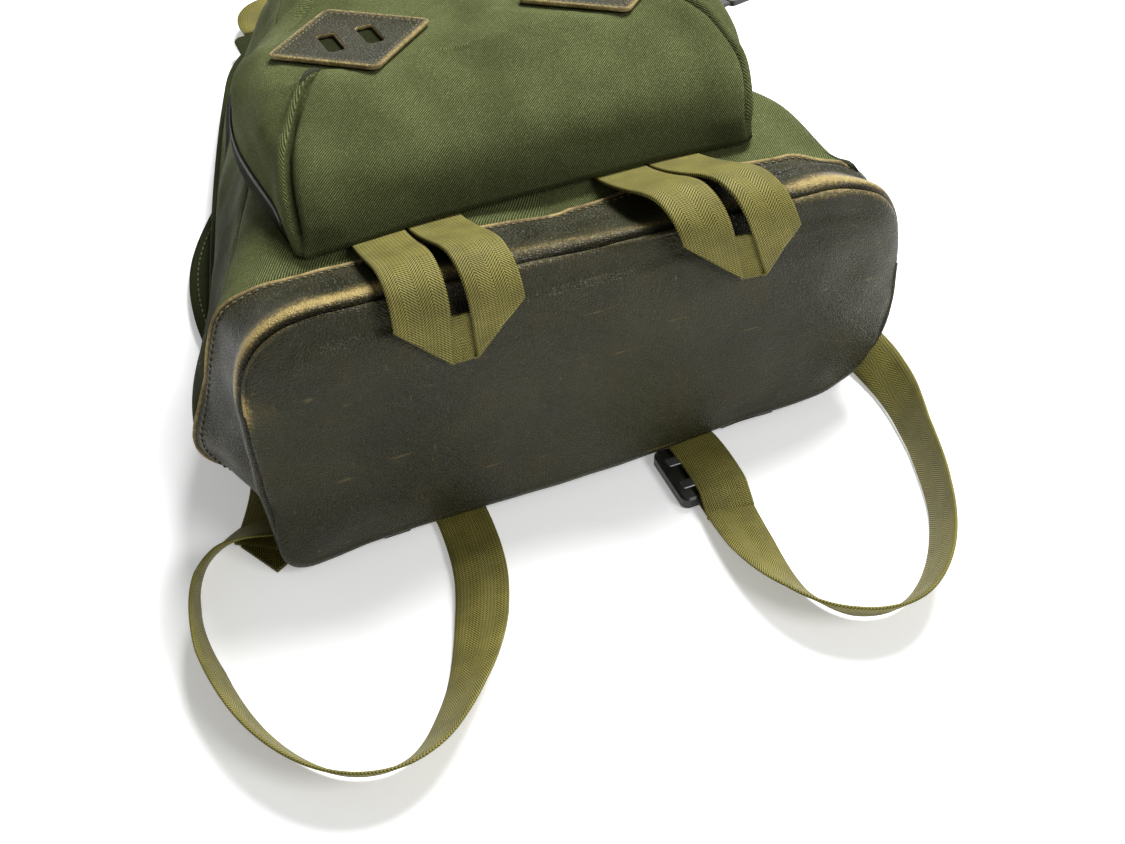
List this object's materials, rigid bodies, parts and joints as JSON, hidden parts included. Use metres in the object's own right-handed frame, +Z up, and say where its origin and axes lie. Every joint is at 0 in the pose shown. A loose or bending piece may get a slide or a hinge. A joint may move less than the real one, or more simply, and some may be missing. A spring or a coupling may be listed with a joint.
{
  "type": "school backpack",
  "caption": "Teardrop school daypack with a leather foot, a domed front pocket with lash patches, folded webbing loops and padded shoulder straps, lying on its back.",
  "frame": {"origin": "on the floor, under the middle of the pack without its slack adjuster webbing", "axes": "+X across the pack to its right as it lies, +Y from the leather foot towards the crown and haul loop, +Z up, from the back panel towards the front pocket"},
  "size_m": [0.3904, 0.6335, 0.1791],
  "materials": {
    "leather": "dark oiled leather with a soft grain, worn tan on its rolled edges",
    "tan_edge": "raw cut leather edge with a row of stitches",
    "shell_fabric": "olive green twill-woven nylon",
    "webbing": "olive-yellow herringbone webbing",
    "back_fabric": "dark olive woven nylon over foam",
    "lining": "thin plain-woven lining",
    "zip": "nylon coil zip and woven tape",
    "zip_metal": "black painted slider",
    "pull": "moulded pull tab",
    "buckle": "black moulded acetal",
    "foam": "closed-cell foam",
    "board": "stiff board"
  },
  "bodies": {
    "pack": {"adjuster_webbing_left": "webbing", "adjuster_webbing_right": "webbing", "back_pad": "foam", "back_panel": "back_fabric", "back_piping": "back_fabric", "base_band": "leather", "base_board": "board", "base_edge_binding": "tan_edge", "base_panel": "leather", "book_sleeve": "lining", "corner_tab_left": "back_fabric", "corner_tab_right": "back_fabric", "crown_gusset": "shell_fabric", "front_panel": "shell_fabric", "gusset_left": "shell_fabric", "gusset_right": "shell_fabric", "pocket_gusset": "shell_fabric", "pocket_rear_coil": "zip", "rear_zip_coil": "zip", "rear_zip_tape": "zip", "strap_yoke": "back_fabric"},
    "flap": {"flap_panel": "shell_fabric", "flap_gusset": "shell_fabric", "flap_zip_tape": "zip", "flap_zip_coil": "zip"},
    "main_slider_left": {"main_slider_left": "zip_metal"},
    "main_slider_right": {"main_slider_right": "zip_metal"},
    "main_pull_left": {"main_pull_left": "pull"},
    "main_pull_right": {"main_pull_right": "pull"},
    "pocket": {"pocket_front": "shell_fabric", "pocket_front_coil": "zip", "lash_patch_left": "leather", "lash_patch_right": "leather"},
    "pocket_slider": {"pocket_slider": "zip_metal"},
    "pocket_pull": {"pocket_pull": "pull"},
    "haul_loop": {"haul_loop": "webbing"},
    "shoulder_strap_left": {"strap_pad_left": "back_fabric", "strap_webbing_left": "webbing", "strap_tab_left": "webbing", "strap_tail_left": "webbing"},
    "shoulder_strap_right": {"strap_pad_right": "back_fabric", "strap_webbing_right": "webbing", "strap_tab_right": "webbing", "strap_tail_right": "webbing"},
    "ladder_lock_left": {"ladder_lock_left": "buckle"},
    "ladder_lock_right": {"ladder_lock_right": "buckle"},
    "lash_loop_left": {"lash_loop_left": "webbing"},
    "lash_loop_right": {"lash_loop_right": "webbing"}
  },
  "joints": [
    {"name": "flap_fold", "type": "hinge", "parent": "pack", "child": "flap", "pos_m": [0, 0.047, 0.132], "axis": [1, 0, 0], "range_deg": [0, 85]},
    {"name": "main_slider_left_travel", "type": "hinge", "parent": "flap", "child": "main_slider_left", "pos_m": [0, 0.09724, 0.054], "axis": [0, 0, 1], "range_deg": [0, 58]},
    {"name": "main_pull_left_swing", "type": "hinge", "parent": "main_slider_left", "child": "main_pull_left", "pos_m": [-0.00926, 0.18531, 0.05668], "axis": [0.9945, 0.1045, 0], "range_deg": [0, 110]},
    {"name": "main_slider_right_travel", "type": "hinge", "parent": "flap", "child": "main_slider_right", "pos_m": [0, 0.09724, 0.054], "axis": [0, 0, 1], "range_deg": [-58, 0]},
    {"name": "main_pull_right_swing", "type": "hinge", "parent": "main_slider_right", "child": "main_pull_right", "pos_m": [0.00926, 0.18531, 0.05668], "axis": [0.9945, -0.1045, 0], "range_deg": [0, 110]},
    {"name": "pocket_fold", "type": "hinge", "parent": "pack", "child": "pocket", "pos_m": [0, -0.163, 0.1323], "axis": [1, 0, 0], "range_deg": [0, 40]},
    {"name": "pocket_slider_travel", "type": "hinge", "parent": "pack", "child": "pocket_slider", "pos_m": [0, -0.094, 0.14], "axis": [0, 0, 1], "range_deg": [0, 156]},
    {"name": "pocket_pull_swing", "type": "hinge", "parent": "pocket_slider", "child": "pocket_pull", "pos_m": [0.13078, -0.0662, 0.1425], "axis": [0.2079, -0.9781, 0], "range_deg": [0, 80]},
    {"name": "haul_loop_swing", "type": "hinge", "parent": "pack", "child": "haul_loop", "pos_m": [0, 0.221, 0.0125], "axis": [1, 0, 0], "range_deg": [0, 90]},
    {"name": "shoulder_strap_left_swing", "type": "hinge", "parent": "pack", "child": "shoulder_strap_left", "pos_m": [-0.044, 0.182, 0.0106], "axis": [1, 0, 0], "range_deg": [0, 60]},
    {"name": "shoulder_strap_right_swing", "type": "hinge", "parent": "pack", "child": "shoulder_strap_right", "pos_m": [0.044, 0.182, 0.0106], "axis": [1, 0, 0], "range_deg": [0, 60]},
    {"name": "ladder_lock_left_rock", "type": "hinge", "parent": "shoulder_strap_left", "child": "ladder_lock_left", "pos_m": [-0.078, -0.176, 0.004], "axis": [-1, 0, 0], "range_deg": [0, 10]},
    {"name": "ladder_lock_right_rock", "type": "hinge", "parent": "shoulder_strap_right", "child": "ladder_lock_right", "pos_m": [0.043, -0.228, 0.004], "axis": [-1, 0, 0], "range_deg": [0, 30]},
    {"name": "lash_loop_left_lift", "type": "hinge", "parent": "pack", "child": "lash_loop_left", "pos_m": [-0.071, -0.165, 0.1343], "axis": [-1, 0, 0], "range_deg": [0, 55]},
    {"name": "lash_loop_right_lift", "type": "hinge", "parent": "pack", "child": "lash_loop_right", "pos_m": [0.058, -0.165, 0.1343], "axis": [-1, 0, 0], "range_deg": [0, 55]}
  ]
}
